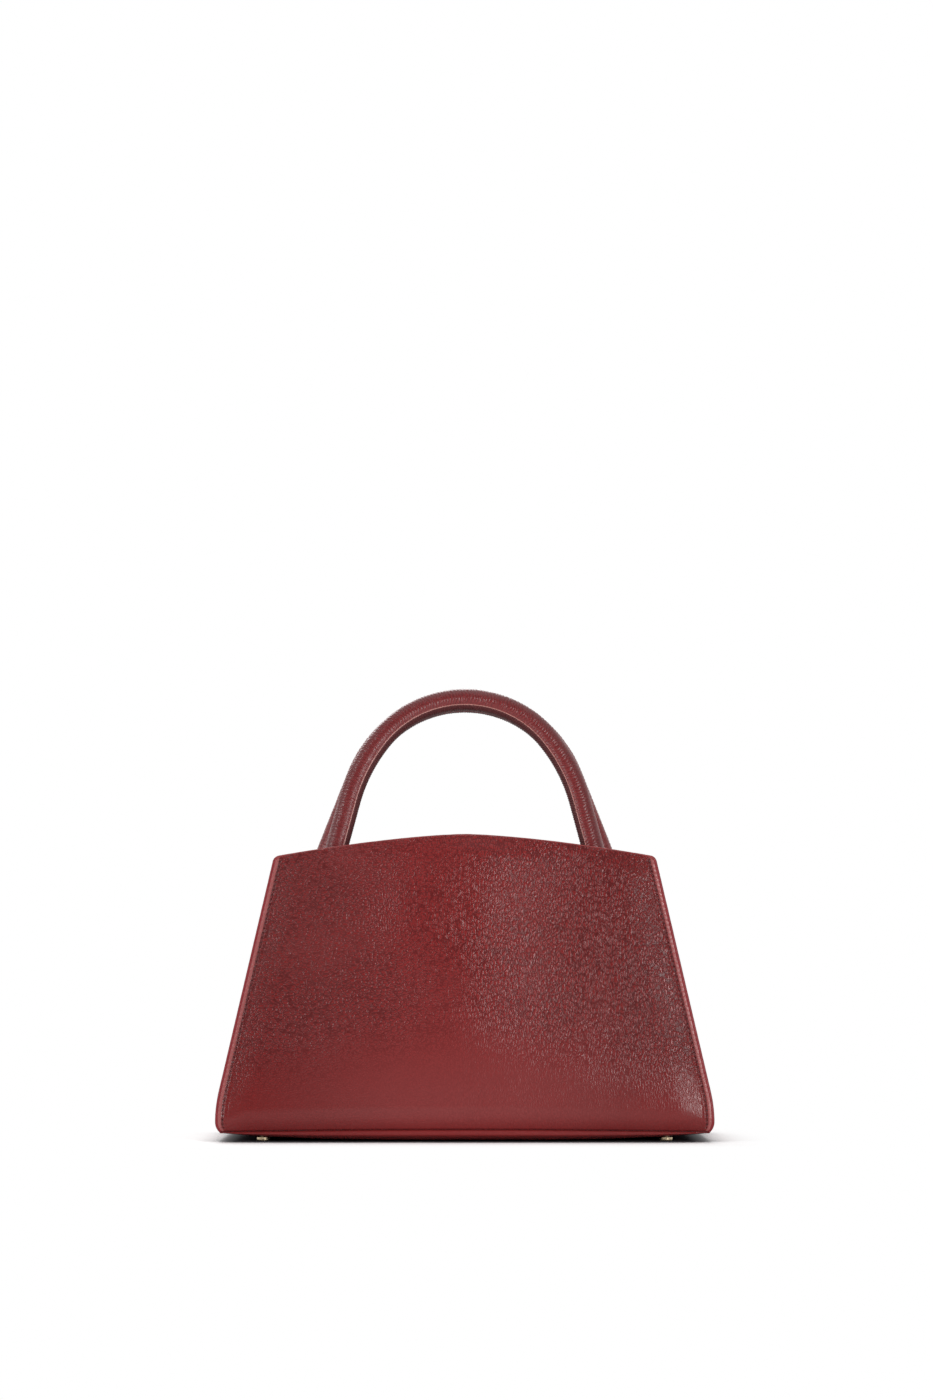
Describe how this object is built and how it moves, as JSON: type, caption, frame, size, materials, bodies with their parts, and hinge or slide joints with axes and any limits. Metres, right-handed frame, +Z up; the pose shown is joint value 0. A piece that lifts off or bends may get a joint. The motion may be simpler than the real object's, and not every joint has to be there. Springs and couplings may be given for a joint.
{
  "type": "structured top-handle handbag",
  "caption": "Structured leather handbag with rolled top handles, folded side gussets, strap rings, a lined inside with pockets and a footed base.",
  "frame": {"origin": "on the floor, under the middle of the bag, level with the undersides of the feet", "axes": "+X across the bag to the viewer's right, +Y from the front face to the back, +Z up"},
  "size_m": [0.299, 0.12, 0.2762],
  "materials": {
    "leather": "pebbled, satin",
    "board": "raw fibreboard",
    "lining": "woven, matte",
    "gold": "polished",
    "cord": "plaited cotton"
  },
  "bodies": {
    "bag": {"front_panel": "leather", "back_panel": "leather", "left_gusset": "leather", "right_gusset": "leather", "base_panel": "leather", "front_facing": "leather", "back_facing": "leather", "front_handle_tabs": "leather", "rear_handle_tabs": "leather", "left_ring_tab": "leather", "right_ring_tab": "leather", "front_board": "board", "back_board": "board", "base_board": "board", "front_lining": "lining", "back_lining": "lining", "left_gusset_lining": "lining", "right_gusset_lining": "lining", "base_lining": "lining", "zip_pocket": "lining", "zip_tape": "lining", "slip_pocket": "lining", "front_handle_rivets": "gold", "rear_handle_rivets": "gold", "left_ring_rivet": "gold", "right_ring_rivet": "gold", "foot_front_left": "gold", "foot_front_right": "gold", "foot_back_left": "gold", "foot_back_right": "gold", "foot_washers": "gold", "snap_stud": "gold", "snap_socket": "gold", "snap_washers": "gold", "zip_teeth": "gold"},
    "front_handle": {"front_handle_cover": "leather", "front_handle_core": "cord"},
    "rear_handle": {"rear_handle_cover": "leather", "rear_handle_core": "cord"},
    "left_ring": {"left_ring": "gold"},
    "right_ring": {"right_ring": "gold"},
    "zip_slider": {"zip_slider": "gold"},
    "zip_puller": {"zip_puller": "gold"}
  },
  "joints": [
    {"name": "front_handle_hinge", "type": "hinge", "parent": "bag", "child": "front_handle", "pos_m": [0, -0.02529, 0.172], "axis": [1, 0, 0], "range_deg": [0, 17]},
    {"name": "rear_handle_hinge", "type": "hinge", "parent": "bag", "child": "rear_handle", "pos_m": [0, 0.02529, 0.172], "axis": [-1, 0, 0], "range_deg": [0, 19]},
    {"name": "left_ring_hinge", "type": "hinge", "parent": "bag", "child": "left_ring", "pos_m": [-0.10235, 0, 0.14705], "axis": [0, 1, 0], "range_deg": [0, 140]},
    {"name": "right_ring_hinge", "type": "hinge", "parent": "bag", "child": "right_ring", "pos_m": [0.10235, 0, 0.14705], "axis": [0, -1, 0], "range_deg": [0, 140]},
    {"name": "zip_slide", "type": "slide", "parent": "bag", "child": "zip_slider", "axis": [-1, 0, 0], "range_m": [0, 0.11]},
    {"name": "zip_puller_hinge", "type": "hinge", "parent": "zip_slider", "child": "zip_puller", "pos_m": [0.053, 0.03441, 0.13084], "axis": [-1, 0, 0], "range_deg": [-11, 120]}
  ]
}
